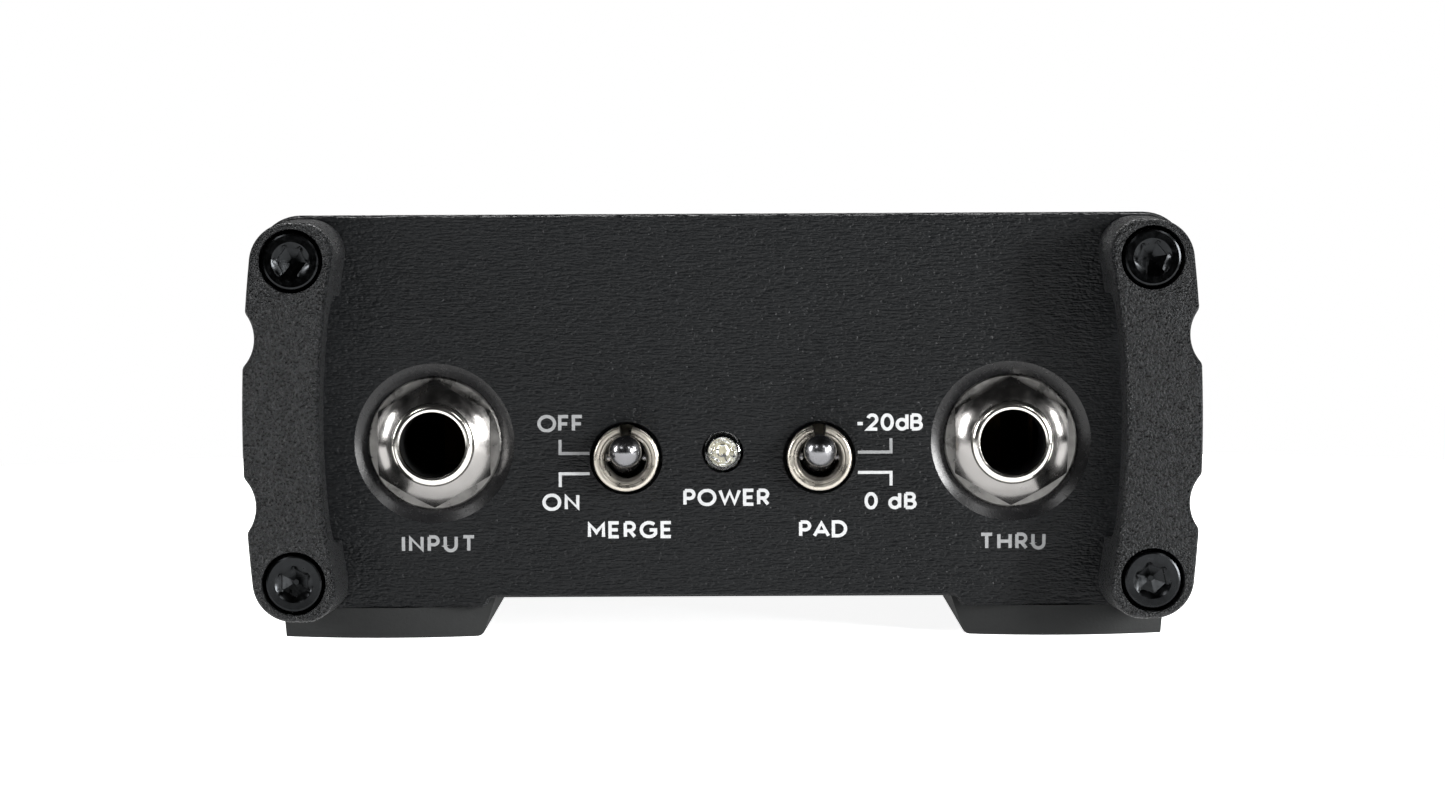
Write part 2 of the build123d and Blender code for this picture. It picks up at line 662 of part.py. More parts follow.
def switch_terminals(place):
    """Three terminals in a row, bent down to the board behind the case."""
    end = PIN_END_Z - SWITCH_Z
    with BuildPart(place) as terminals:
        for row, bend in zip((1, 0, -1), TERMINAL_BENDS):
            head = -6.55 if row == 0 else -6.7
            y = row * TERMINAL_SPACING
            with Locations((0, y, (head + bend) / 2)):
                Box(PIN_SIZE, PIN_SIZE, head - bend)
            with Locations((0, (y + end) / 2, bend)):
                Box(PIN_SIZE, y - end + PIN_SIZE, PIN_SIZE)
    return terminals


for name, place in switch_places.items():
    save(switch_bushing(place), f"{name}_switch_bushing")
    save(switch_frame(place), f"{name}_switch_frame")
    save(switch_case(place), f"{name}_switch_case")
    save(switch_lever(place), f"{name}_switch_lever")
    save(switch_plunger(place), f"{name}_switch_plunger")
    save(switch_rocker(place), f"{name}_switch_rocker")
    save(switch_terminals(place), f"{name}_switch_terminals")


# ---------------------------------------------------------------- power light

with BuildPart() as power_led_lens:
    with BuildSketch(led_place.offset(-4.6)):
        Circle(LED_RADIUS + 0.4)
    extrude(amount=1.0)
    with BuildSketch(led_place.offset(-4.6)):
        Circle(LED_RADIUS)
    extrude(amount=4.0)
    with Locations(led_place.offset(-0.6)):
        Sphere(LED_RADIUS)
save(power_led_lens, "power_led_lens")

with BuildPart(led_place) as power_led_leads:
    lead_end = PIN_END_Z - LED_Z
    for x in (-LED_LEAD_X, LED_LEAD_X):
        with Locations((x, 0, -5.95)):
            Box(0.5, 0.5, 2.7)
        with Locations((x, lead_end / 2, -7.05)):
            Box(0.5, 0.5 - lead_end, 0.5)
save(power_led_leads, "power_led_leads")

with BuildPart(led_place) as power_led_spacer:
    led_floor = BOARD_TOP - LED_Z
    with Locations((0, (2.0 + led_floor) / 2, -6.6)):
        Box(4.6, 2.0 - led_floor, 4.0)
    for x in (-LED_LEAD_X, LED_LEAD_X):
        with Locations((x, (0.6 + led_floor) / 2, -6.6)):
            Box(0.9, 0.6 - led_floor, 4.0, mode=Mode.SUBTRACT)
save(power_led_spacer, "power_led_spacer")


# ---------------------------------------------------------------- XLR output socket

xlr_screw_points = [(-XLR_SCREW_X, XLR_SCREW_Y), (XLR_SCREW_X, -XLR_SCREW_Y)]

with BuildPart() as xlr_shell:
    with BuildSketch(xlr_place):
        RectangleRounded(XLR_FLANGE_WIDTH, XLR_FLANGE_HEIGHT, 3)
    extrude(amount=XLR_FLANGE_THICKNESS)
    front_face = xlr_shell.faces().sort_by(Axis.Y)[-1]
    fillet(front_face.outer_wire().edges(), 0.6)
    with BuildSketch(xlr_place):
        Circle(XLR_SHELL_RADIUS)
    extrude(amount=-XLR_BACK_DEPTH)
    with BuildSketch(xlr_place.offset(XLR_FLANGE_THICKNESS)):
        Circle(XLR_BORE_RADIUS)
    extrude(amount=-(XLR_FLANGE_THICKNESS + XLR_BACK_DEPTH), mode=Mode.SUBTRACT)
    # The raised key that turns the plug the right way round
    with BuildSketch(xlr_place):
        with Locations((0, XLR_BORE_RADIUS - 0.2)):
            Rectangle(3.0, 1.6)
    extrude(amount=-XLR_FACE_DEPTH)
    with Locations(*[xlr_place.offset(XLR_FLANGE_THICKNESS) * Location((x, y)) for x, y in xlr_screw_points]):
        CounterSinkHole(1.6, 3.0, counter_sink_angle=90)
save(xlr_shell, "xlr_shell")

with BuildPart() as xlr_insert:
    with BuildSketch(xlr_place.offset(-XLR_FACE_DEPTH)):
        Circle(XLR_BORE_RADIUS - 0.05)
        with PolarLocations(XLR_PIN_CIRCLE, 3, start_angle=XLR_PIN_ANGLES[0]):
            Circle(XLR_PIN_RADIUS + 0.03, mode=Mode.SUBTRACT)
    extrude(amount=XLR_FACE_DEPTH - XLR_BACK_DEPTH)
save(xlr_insert, "xlr_insert")

with BuildPart(xlr_place) as xlr_pins:
    with BuildSketch(xlr_place.offset(-XLR_PIN_TIP_DEPTH)):
        with PolarLocations(XLR_PIN_CIRCLE, 3, start_angle=XLR_PIN_ANGLES[0]):
            Circle(XLR_PIN_RADIUS)
    extrude(amount=XLR_PIN_TIP_DEPTH - XLR_BACK_DEPTH - 1)
    fillet(xlr_pins.edges().filter_by(GeomType.CIRCLE).group_by(Axis.Y)[-1], 0.8)
    tail_end = PIN_END_Z - XLR_Z
    for angle in XLR_PIN_ANGLES:
        pin = Vector(XLR_PIN_CIRCLE, 0).rotate(Axis.Z, angle)
        with Locations((pin.X, pin.Y, -(XLR_BACK_DEPTH + 1 + XLR_TAIL_DEPTH) / 2)):
            Box(PIN_SIZE, PIN_SIZE, XLR_TAIL_DEPTH - XLR_BACK_DEPTH - 1)
        with Locations((pin.X, (pin.Y + tail_end) / 2, -XLR_TAIL_DEPTH)):
            Box(PIN_SIZE, pin.Y - tail_end + PIN_SIZE, PIN_SIZE)
save(xlr_pins, "xlr_pins")

with BuildPart() as xlr_screws:
    head_top = XLR_FLANGE_THICKNESS - 0.05
    for x, y in xlr_screw_points:
        screw_place = facing(-x, PANEL_FACE_Y, XLR_Z + y, 1)
        with BuildSketch(section(screw_place)):
            with BuildLine():
                Polyline(
                    (0, head_top),
                    (XLR_SCREW_HEAD_RADIUS, head_top),
                    (SHANK_RADIUS, 0.5),
                    (SHANK_RADIUS, -XLR_SCREW_LENGTH),
                    (0, -XLR_SCREW_LENGTH),
                    close=True,
                )
            make_face()
        revolve(axis=axis_of(screw_place))
        with BuildSketch(screw_place.offset(head_top)):
            Rectangle(CROSS_SLOT_LENGTH, CROSS_SLOT_WIDTH)
            Rectangle(CROSS_SLOT_WIDTH, CROSS_SLOT_LENGTH)
        extrude(amount=-CROSS_SLOT_DEPTH, mode=Mode.SUBTRACT)
save(xlr_screws, "xlr_screws")


# ---------------------------------------------------------------- circuit board and what is on it

TRANSFORMER_PLACE = (24.0, 6.0)
TRANSFORMER_PIN_POINTS = [(x, y) for x in (-8, 8) for y in (-6, 0, 6)]
TRANSFORMER_MIDDLE_Z = 9.0
CAPACITOR_RADIUS = 3.15
CAPACITOR_HEIGHT = 7.7
CAPACITOR_POINTS = ((-10, -8), (-10, 2), (0, -8), (0, 2), (-34, 22), (-26, 22))
RESISTOR_SIZE = (1.6, 3.2, 0.55)
CHIP_SIZE = (5.0, 4.0, 1.6)
CHIP_LEG_PITCH = 1.27
ON_ITS_BASE = (Align.CENTER, Align.CENTER, Align.MIN)


def board_pin_points():
    """Where every soldered pin goes through the board, as (x, y) seen from above."""
    points = []
    for place in jack_places.values():
        for outward in (tip_spring_path[-1][0], ring_spring_path[-1][0], sleeve_contact_path[-1][0]):
            points.append(place.from_local_coords((0, 0, outward)))
        points.append(place.from_local_coords((SWITCH_CONTACT_LEG_X, 0, -SWITCH_CONTACT_DEPTH)))
    for place in switch_places.values():
        for bend in TERMINAL_BENDS:
            points.append(place.from_local_coords((0, 0, bend)))
        for x in (-1, 1):
            points.append(place.from_local_coords((x * (SWITCH_CASE_WIDTH / 2 + 0.3), 0, -8.0)))
    for x in (-LED_LEAD_X, LED_LEAD_X):
        points.append(led_place.from_local_coords((x, 0, -7.05)))
    for angle in XLR_PIN_ANGLES:
        pin = Vector(XLR_PIN_CIRCLE, 0).rotate(Axis.Z, angle)
        points.append(xlr_place.from_local_coords((pin.X, 0, -XLR_TAIL_DEPTH)))
    for x, y in TRANSFORMER_PIN_POINTS:
        points.append(Vector(TRANSFORMER_PLACE[0] + x, TRANSFORMER_PLACE[1] + y, 0))
    return [(point.X, point.Y) for point in points]


def contact_slot_points():
    """The jack contacts are wider than pins, so each needs a slot across the board."""
    return [(x, -PANEL_FACE_Y - path[-1][0]) for x in (-JACK_X, JACK_X)
            for path in (tip_spring_path, ring_spring_path, sleeve_contact_path)]


with BuildPart() as circuit_board:
    with BuildSketch(Plane.XY.offset(BOARD_TOP)):
        with Locations((0, (BOARD_FRONT_Y + BOARD_BACK_Y) / 2)):
            Rectangle(2 * BOARD_HALF_WIDTH, BOARD_BACK_Y - BOARD_FRONT_Y)
        with Locations(*board_pin_points()):
            Circle(PIN_HOLE_RADIUS, mode=Mode.SUBTRACT)
        with Locations(*contact_slot_points()):
            SlotOverall(CONTACT_WIDTH + 1.0, 1.0, mode=Mode.SUBTRACT)
    extrude(amount=-BOARD_THICKNESS)
save(circuit_board, "circuit_board")


def on_board(x, y):
    return Plane.XY.offset(BOARD_TOP).move(Location((x, y, 0)))


transformer_base = on_board(*TRANSFORMER_PLACE)
with BuildPart(transformer_base) as transformer_bobbin:
    with Locations((0, 0, 1.0)):
        Box(20, 17, 2.0)
    with Locations((0, 0, TRANSFORMER_MIDDLE_Z)):
        Box(8.0, 12.0, 14.0)
    with Locations(*[(x, y, -1.5) for x, y in TRANSFORMER_PIN_POINTS]):
        Box(PIN_SIZE, PIN_SIZE, 3.0)
save(transformer_bobbin, "transformer_bobbin")

with BuildPart(transformer_base) as transformer_winding:
    with Locations((0, 0, TRANSFORMER_MIDDLE_Z)):
        Box(12.6, 16.4, 9.6)
    fillet(transformer_winding.edges().filter_by(Axis.Z), 2.0)
    with Locations((0, 0, TRANSFORMER_MIDDLE_Z)):
        Box(8.1, 12.1, 20, mode=Mode.SUBTRACT)
save(transformer_winding, "transformer_winding")

with BuildPart(transformer_base) as transformer_core:
    with Locations((0, 0, 9.1)):
        Box(20, 9, 14.0)
    with Locations((0, 0, 9.1)):
        Box(12.8, 10, 9.9, mode=Mode.SUBTRACT)
        Box(8.1, 12.1, 20, mode=Mode.SUBTRACT)
save(transformer_core, "transformer_core")

with BuildPart() as electrolytic_capacitors:
    for x, y in CAPACITOR_POINTS:
        with BuildSketch(on_board(x, y)):
            Circle(CAPACITOR_RADIUS)
        extrude(amount=CAPACITOR_HEIGHT)
    fillet(electrolytic_capacitors.edges().group_by(Axis.Z)[-1], 0.5)
save(electrolytic_capacitors, "electrolytic_capacitors")

with BuildPart() as resistors:
    for x in (-36, -33, 10, 38):
        for y in (-12, -6, 0, 6, 12):
            with Locations(on_board(x, y)):
                Box(*RESISTOR_SIZE, align=ON_ITS_BASE)
save(resistors, "resistors")

with BuildPart() as amplifier_chips:
    for y in (14, 24):
        chip_base = on_board(-8, y)
        with Locations(chip_base):
            Box(*CHIP_SIZE, align=ON_ITS_BASE)
            with GridLocations(CHIP_LEG_PITCH, 5.2, 4, 2):
                Box(0.4, 1.6, 0.3, align=ON_ITS_BASE)
save(amplifier_chips, "amplifier_chips")
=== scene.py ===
import math

import bmesh
import bpy
from mathutils import Matrix, Vector


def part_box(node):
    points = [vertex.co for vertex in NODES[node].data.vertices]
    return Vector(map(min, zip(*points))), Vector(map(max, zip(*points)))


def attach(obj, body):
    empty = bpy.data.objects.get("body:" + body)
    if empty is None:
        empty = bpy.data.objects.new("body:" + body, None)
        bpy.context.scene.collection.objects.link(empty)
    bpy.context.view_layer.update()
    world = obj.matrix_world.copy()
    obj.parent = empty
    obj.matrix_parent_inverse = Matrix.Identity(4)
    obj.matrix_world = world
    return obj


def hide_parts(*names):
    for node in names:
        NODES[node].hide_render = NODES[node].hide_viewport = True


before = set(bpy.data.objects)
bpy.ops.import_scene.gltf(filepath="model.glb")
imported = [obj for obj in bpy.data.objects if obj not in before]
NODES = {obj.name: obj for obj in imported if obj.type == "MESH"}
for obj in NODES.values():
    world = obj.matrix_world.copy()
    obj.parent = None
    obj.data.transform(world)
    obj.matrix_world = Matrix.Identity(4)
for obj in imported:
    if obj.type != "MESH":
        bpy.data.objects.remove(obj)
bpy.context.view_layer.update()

bl_info = {
    "name": "Direct injection box",
    "version": (1, 0, 0),
    "blender": (4, 5, 0),
    "location": "3D View > Sidebar > DI box",
    "description": "Dresses the packed direct injection box with finishes, printed legends and a studio",
    "category": "Object",
}

MM = 0.001
BODY = "box"
PANEL_FACE_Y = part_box("front_panel")[0].y


# ---------------------------------------------------------------- shared helpers

def linear(colour):
    """An sRGB hex colour as linear red, green, blue and an alpha of 1."""
    channels = [int(colour[i : i + 2], 16) / 255 for i in (1, 3, 5)]
    return [c / 12.92 if c <= 0.04045 else ((c + 0.055) / 1.055) ** 2.4 for c in channels] + [1.0]


def add_node(tree, kind, settings=None, links=None):
    """Adds a shader node: settings hold its properties and input values, links the sockets it takes."""
    node = tree.nodes.new(kind)
    for name, value in (settings or {}).items():
        if isinstance(name, str) and hasattr(node, name):
            setattr(node, name, value)
        else:
            node.inputs[name].default_value = value
    for name, socket in (links or {}).items():
        tree.links.new(socket, node.inputs[name])
    return node


def start_material(name, settings):
    """A material with one Principled shader, its tree and that shader."""
    material = bpy.data.materials.new(name)
    material.use_nodes = True
    tree = material.node_tree
    tree.nodes.clear()
    shader = add_node(tree, "ShaderNodeBsdfPrincipled", settings)
    add_node(tree, "ShaderNodeOutputMaterial", links={"Surface": shader.outputs["BSDF"]})
    return material, tree, shader


def object_pattern(tree, scale=(1, 1, 1)):
    """Object coordinates in metres, stretched by scale."""
    place = add_node(tree, "ShaderNodeTexCoord")
    mapping = add_node(tree, "ShaderNodeMapping", {"Scale": scale}, {"Vector": place.outputs["Object"]})
    return mapping.outputs["Vector"]


def grain(tree, vector, size_mm, detail=2.0):
    """A noise whose lumps are about size_mm across."""
    settings = {"Scale": 1 / (size_mm * MM), "Detail": detail, "Roughness": 0.6}
    return add_node(tree, "ShaderNodeTexNoise", settings, {"Vector": vector}).outputs["Fac"]


def remap(tree, value, low, high, from_min=0.3, from_max=0.7):
    """Stretches a noise, most of which lies from from_min to from_max, to run from low to high."""
    settings = {"From Min": from_min, "From Max": from_max, "To Min": low, "To Max": high}
    return add_node(tree, "ShaderNodeMapRange", settings, {"Value": value}).outputs["Result"]


def shade_around(tree, shader, value, colour, spread):
    """Colours the shader from colour less spread to colour plus spread as value goes from 0 to 1."""
    dark, light = ([c * share for c in colour[:3]] + [1.0] for share in (1 - spread, 1 + spread))
    blend = add_node(tree, "ShaderNodeMix", {"data_type": "RGBA", 6: dark, 7: light}, {0: value})
    tree.links.new(blend.outputs[2], shader.inputs["Base Color"])


def emboss(tree, shader, height, depth_mm):
    """Turns a height from 0 to 1 into relief of depth_mm."""
    bump = add_node(tree, "ShaderNodeBump", {"Distance": depth_mm * MM}, {"Height": height})
    tree.links.new(bump.outputs["Normal"], shader.inputs["Normal"])


def paint(material, *names):
    """Gives CAD nodes a material."""
    for name in names:
        for slot in NODES[name].material_slots:
            slot.material = material


def named(*endings):
    """The names of the CAD nodes that have one of the endings."""
    return [name for name in sorted(NODES) if name.endswith(endings)]


def finish_piece(name, bm, material, body=BODY, replaced=(), smooth_degrees=35):
    """Makes a piece from a bmesh that is already in place, and joins it to its CAD body."""
    mesh = bpy.data.meshes.new(name)
    bm.to_mesh(mesh)
    bm.free()
    for face in mesh.polygons:
        face.use_smooth = True
    mesh.set_sharp_from_angle(angle=math.radians(smooth_degrees))
    piece = bpy.data.objects.new(name, mesh)
    bpy.context.scene.collection.objects.link(piece)
    mesh.materials.append(material)
    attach(piece, body)
    if replaced:
        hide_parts(*replaced)


def middle_of(name):
    """The middle of a CAD node's box."""
    low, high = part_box(name)
    return (low + high) / 2


def facing(x, y, z, side):
    """A round piece's place, its Z pointing out of the front panel (side -1) or the rear one (side +1)."""
    outward = Matrix.Rotation(math.radians(-90 * side), 4, "X")
    return Matrix.Translation((x, y, z)) @ outward


def arc(x, y, across, up, start, end, steps=16):
    """Points of an elliptical arc, with its angles in degrees."""
    angles = [math.radians(start + (end - start) * i / steps) for i in range(steps + 1)]
    return [(x + across * math.cos(a), y + up * math.sin(a)) for a in angles]


def turned(bm, profile, place, steps=64, start=0.0, sweep=360.0):
    """Spins a closed outline of (radius, height) points in mm about the place's Z, and caps open ends."""
    turn = Matrix.Rotation(math.radians(start), 4, "Z")
    verts = [bm.verts.new(turn @ Vector((radius * MM, 0, height * MM))) for radius, height in profile]
    edges = [bm.edges.new(pair) for pair in zip(verts, verts[1:] + verts[:1])]
    if sweep < 360:
        bm.faces.new(verts)
    spun = bmesh.ops.spin(
        bm,
        geom=verts + edges,
        cent=(0, 0, 0),
        axis=(0, 0, 1),
        angle=math.radians(sweep),
        steps=steps,
        use_merge=sweep == 360,
    )
    if sweep < 360:
        bm.faces.new([v for v in spun["geom_last"] if isinstance(v, bmesh.types.BMVert)])
    bmesh.ops.recalc_face_normals(bm, faces=bm.faces)
    bmesh.ops.transform(bm, matrix=place, verts=bm.verts)


# ---------------------------------------------------------------- finishes

def painted_brushed_aluminium(colour):
    """Brushed aluminium under satin black paint: the brushing still shows as fine streaks along X."""
    material, tree, shader = start_material(
        "painted_brushed_aluminium", {"Roughness": 0.32, "IOR": 1.5, "Specular IOR Level": 0.12}
    )
    # Both patterns are several times as coarse and deep as real brushing and paint, so that they show
    streaks = grain(tree, object_pattern(tree, (0.14, 1, 1)), 0.18, 1)
    peel = grain(tree, object_pattern(tree, (0.6, 1, 1)), 0.26, 1)
    both = add_node(tree, "ShaderNodeMath", {"operation": "ADD"}, {0: streaks, 1: peel}).outputs["Value"]
    shade_around(tree, shader, remap(tree, both, 0, 1, 0.75, 1.25), colour, 0.15)
    tree.links.new(remap(tree, both, 0.26, 0.38, 0.75, 1.25), shader.inputs["Roughness"])
    emboss(tree, shader, both, 0.17)
    return material


def powder_coated_aluminium(colour):
    """Satin black powder coat on the extrusion: an even orange peel a third of a millimetre across."""
    material, tree, shader = start_material(
        "powder_coated_aluminium", {"Roughness": 0.48, "IOR": 1.5, "Specular IOR Level": 0.25}
    )
    peel = grain(tree, object_pattern(tree), 0.35, 2)
    shade_around(tree, shader, remap(tree, peel, 0, 1), colour, 0.2)
    tree.links.new(remap(tree, peel, 0.42, 0.56), shader.inputs["Roughness"])
    emboss(tree, shader, peel, 0.015)
    return material


def grained_zinc_casting(colour):
    """Die-cast zinc under a coarse black texture coat, gritty like fine sandpaper, with shiny specks."""
    material, tree, shader = start_material(
        "grained_zinc_casting", {"Roughness": 0.35, "IOR": 1.5, "Specular IOR Level": 0.17}
    )
    # Grit of about a fifth of a millimetre, with slopes steeper than real so that single grains catch light
    grit = grain(tree, object_pattern(tree), 0.22, 1)
    shade_around(tree, shader, remap(tree, grit, 0, 1), colour, 0.9)
    tree.links.new(remap(tree, grit, 0.24, 0.4), shader.inputs["Roughness"])
    emboss(tree, shader, grit, 1.1)
    return material


def black_oxide_steel():
    """Hardened steel with a black oxide: nearly black, with an oily shine."""
    material, tree, shader = start_material("black_oxide_steel", {"Metallic": 1.0, "Roughness": 0.2})
    mottle = grain(tree, object_pattern(tree), 0.5, 3)
    shade_around(tree, shader, remap(tree, mottle, 0, 1), linear("#202122"), 0.2)
    tree.links.new(remap(tree, mottle, 0.16, 0.28), shader.inputs["Roughness"])
    emboss(tree, shader, mottle, 0.003)
    return material


def moulded_rubber():
    """Moulded rubber: matt, dark grey, with the mould's fine spark texture."""
    material, tree, shader = start_material(
        "moulded_rubber", {"Roughness": 0.8, "IOR": 1.52, "Specular IOR Level": 0.2}
    )
    spark = grain(tree, object_pattern(tree), 0.3, 3)
    shade_around(tree, shader, remap(tree, spark, 0, 1), linear("#1a1b1b"), 0.3)
    tree.links.new(remap(tree, spark, 0.7, 0.9), shader.inputs["Roughness"])
    emboss(tree, shader, spark, 0.03)
    return material


def plated_metal(name, colour, roughness, relief_mm, spread=0.1):
    """Plated metal, from near mirror to satin by its roughness, with faint waves and a little tarnish."""
    material, tree, shader = start_material(name, {"Metallic": 1.0, "Roughness": roughness})
    tarnish = grain(tree, object_pattern(tree), 1.6, 3)
    shade_around(tree, shader, remap(tree, tarnish, 0, 1), linear(colour), spread)
    tree.links.new(remap(tree, tarnish, roughness * 0.7, roughness * 1.4), shader.inputs["Roughness"])
    emboss(tree, shader, grain(tree, object_pattern(tree), 0.5, 1), relief_mm)
    return material


def clear_epoxy():
    """Water-clear epoxy, as in an unlit light."""
    material, tree, shader = start_material(
        "clear_epoxy",
        {"Base Color": linear("#f4f6f6"), "Roughness": 0.03, "IOR": 1.53, "Transmission Weight": 1.0},
    )
    emboss(tree, shader, grain(tree, object_pattern(tree), 0.8, 1), 0.01)
    return material


def moulded_plastic(name, colour, roughness, relief_mm=0.01):
    """Moulded plastic or enamel with a faint texture."""
    material, tree, shader = start_material(
        name, {"Roughness": roughness, "IOR": 1.53, "Specular IOR Level": 0.3}
    )
    texture = grain(tree, object_pattern(tree), 0.4, 2)
    shade_around(tree, shader, remap(tree, texture, 0, 1), linear(colour), 0.12)
    tree.links.new(remap(tree, texture, roughness * 0.9, roughness * 1.1), shader.inputs["Roughness"])
    emboss(tree, shader, texture, relief_mm)
    return material


def screen_print(name, colour):
    """Screen-printed ink: flat and slightly uneven."""
    material, tree, shader = start_material(name, {"Roughness": 0.6, "IOR": 1.5})
    cover = grain(tree, object_pattern(tree), 0.25, 2)
    shade_around(tree, shader, remap(tree, cover, 0, 1), colour, 0.08)
    tree.links.new(remap(tree, cover, 0.55, 0.68), shader.inputs["Roughness"])
    return material


# ---------------------------------------------------------------- settings

class DIBOX_PG_finish(bpy.types.PropertyGroup):
    panel_colour: bpy.props.FloatVectorProperty(
        name="Panel paint",
        description="Paint on the two end panels",
        default=linear("#111213")[:3],
        subtype="COLOR",
    )
    case_colour: bpy.props.FloatVectorProperty(
        name="Case coat",
        description="Powder coat on the case",
        default=linear("#151617")[:3],
        subtype="COLOR",
    )
    bumper_colour: bpy.props.FloatVectorProperty(
        name="Bumper coat",
        description="Texture coat on the bumpers",
        default=linear("#18191a")[:3],
        subtype="COLOR",
    )


class DIBOX_PG_legends(bpy.types.PropertyGroup):
    ink_colour: bpy.props.FloatVectorProperty(
        name="Ink",
        description="Ink of the switch and light words",
        default=linear("#a4a5a6")[:3],
        subtype="COLOR",
    )
    faint_ink_colour: bpy.props.FloatVectorProperty(
        name="Faint ink",
        description="Ink of the socket words",
        default=linear("#757677")[:3],
        subtype="COLOR",
    )
    cap_height: bpy.props.FloatProperty(
        name="Cap height", description="Height of a capital letter", default=1.7 * MM, unit="LENGTH"
    )
    stroke_width: bpy.props.FloatProperty(
        name="Stroke width", description="Width of the letters' strokes", default=0.33 * MM, unit="LENGTH"
    )
    ink_thickness: bpy.props.FloatProperty(
        name="Ink thickness",
        description="How far the ink stands off the panel",
        default=0.02 * MM,
        unit="LENGTH",
    )
    letter_width: bpy.props.FloatProperty(
        name="Letter width", description="How much wider than drawn the letters are", default=1.12
    )
    line_width: bpy.props.FloatProperty(
        name="Line width", description="Width of the pointer lines", default=0.3 * MM, unit="LENGTH"
    )


class DIBOX_PG_stage(bpy.types.PropertyGroup):
    camera_distance: bpy.props.FloatProperty(
        name="Camera distance",
        description="From the front bumpers to the camera",
        default=350 * MM,
        unit="LENGTH",
    )
    camera_height: bpy.props.FloatProperty(
        name="Camera height", description="Of the camera over the floor", default=40.9 * MM, unit="LENGTH"
    )
    lens: bpy.props.FloatProperty(name="Lens", description="Focal length in millimetres", default=91.1)
    pitch: bpy.props.FloatProperty(
        name="Pitch",
        description="How far the camera looks down",
        default=math.radians(2.87),
        subtype="ANGLE",
    )
    roll: bpy.props.FloatProperty(
        name="Roll", description="How far the camera leans", default=math.radians(0.27), subtype="ANGLE"
    )
    floor_radius: bpy.props.FloatProperty(
        name="Floor radius", description="Of the round white floor", default=0.24, unit="LENGTH"
    )
    floor_light: bpy.props.FloatProperty(
        name="Floor light", description="Strength of the overhead light", default=1.0
    )


# ---------------------------------------------------------------- operators

ROUNDED_EDGE = 0.4


class DIBOX_OT_case(bpy.types.Operator):
    """Finishes the case, its panels, the bumpers and the feet"""

    bl_idname = "dibox.case"
    bl_label = "Case, panels, bumpers and feet"

    def execute(self, context):
        settings = context.scene.dibox_finish
        paint(powder_coated_aluminium(settings.case_colour), "body_shell")
        paint(painted_brushed_aluminium(settings.panel_colour), "front_panel", "rear_panel")
        paint(grained_zinc_casting(settings.bumper_colour), *named("_bumper"))
        paint(moulded_rubber(), *named("_foot"))
        for name in named("_foot", "_bumper"):
            bevel = NODES[name].modifiers.new("rounded_edge", "BEVEL")
            bevel.width = ROUNDED_EDGE * MM
            bevel.segments = 3
            bevel.limit_method = "ANGLE"
            bevel.angle_limit = math.radians(40)
        return {"FINISHED"}


# The bumper screws' heads, in mm, with heights from the bumper's face
SCREW_HEAD_RADIUS = 2.8
SCREW_HEAD_HEIGHT = 3.0
SOCKET_FLATS = 2.5
# Circles (radius, height) up the side and over the rounded rim to the socket's mouth
HEAD_CIRCLES = (
    (SCREW_HEAD_RADIUS, 0.0),
    (SCREW_HEAD_RADIUS, 2.66),
    (2.76, 2.82),
    (2.66, 2.94),
    (2.5, SCREW_HEAD_HEIGHT),
    (1.86, 2.97),
    (1.72, 2.9),
)
# Hexagons (flats, height) from the socket's chamfer down its walls and into the drill cone
SOCKET_HEXAGONS = ((2.9, 2.74), (SOCKET_FLATS, 2.58), (SOCKET_FLATS, 1.6), (0.5, 1.1))


def hexagonal_loop(bm, flats, height, steps=48):
    """A loop on a hexagon, its points in line with those of a circle of as many steps, for bridging."""
    loop = bmesh.ops.create_circle(bm, segments=steps, radius=1.0)["verts"]
    for vert in loop:
        angle = math.atan2(vert.co.y, vert.co.x)
        off_flat = (angle + math.radians(30)) % math.radians(60) - math.radians(30)
        radius = flats / 2 * MM / math.cos(off_flat)
        vert.co = (radius * math.cos(angle), radius * math.sin(angle), height * MM)
    return loop


def edges_of(loop):
    """The edges that join two points of a loop."""
    touching = {edge for vert in loop for edge in vert.link_edges}
    return [edge for edge in touching if all(vert in loop for vert in edge.verts)]


def socket_screw_head(bm, place, turn_degrees):
    """A cap screw head with a rounded rim and a hexagon socket that ends in a drill cone."""
    head = bmesh.new()
    loops = []
    for radius, height in HEAD_CIRCLES:
        loop = bmesh.ops.create_circle(head, segments=48, radius=radius * MM)["verts"]
        for vert in loop:
            vert.co.z = height * MM
        loops.append(loop)
    for flats, height in SOCKET_HEXAGONS:
        loops.append(hexagonal_loop(head, flats, height))
    for lower, upper in zip(loops, loops[1:]):
        bmesh.ops.bridge_loops(head, edges=edges_of(lower) + edges_of(upper))
    head.faces.new(loops[0])
    head.faces.new(loops[-1])
    bmesh.ops.recalc_face_normals(head, faces=head.faces)
    turn = Matrix.Rotation(math.radians(turn_degrees), 4, "Z")
    bmesh.ops.transform(head, matrix=place @ turn, verts=head.verts)
    mesh = bpy.data.meshes.new("head")
    head.to_mesh(mesh)
    head.free()
    bm.from_mesh(mesh)
    bpy.data.meshes.remove(mesh)


class DIBOX_OT_screws(bpy.types.Operator):
    """Fits the bumper screws' heads and finishes the output socket's screws"""

    bl_idname = "dibox.screws"
    bl_label = "Screws"

    def execute(self, context):
        steel = black_oxide_steel()
        paint(steel, *named("_screws"))
        for end_name, side in (("front", -1), ("rear", 1)):
            node = f"{end_name}_bumper_screws"
            low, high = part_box(node)
            seat_y = (low.y if side < 0 else high.y) - side * SCREW_HEAD_HEIGHT * MM
            x_inset = SCREW_HEAD_RADIUS * MM
            bm = bmesh.new()
            # Each screw was left at its own turn
            turns = iter((0, 24, 12, 40))
            for x in (low.x + x_inset, high.x - x_inset):
                for z in (low.z + x_inset, high.z - x_inset):
                    socket_screw_head(bm, facing(x, seat_y, z, side), next(turns))
            finish_piece(
                f"{end_name}_screw_heads", bm, steel, BODY, [node], smooth_degrees=20
            )
        return {"FINISHED"}


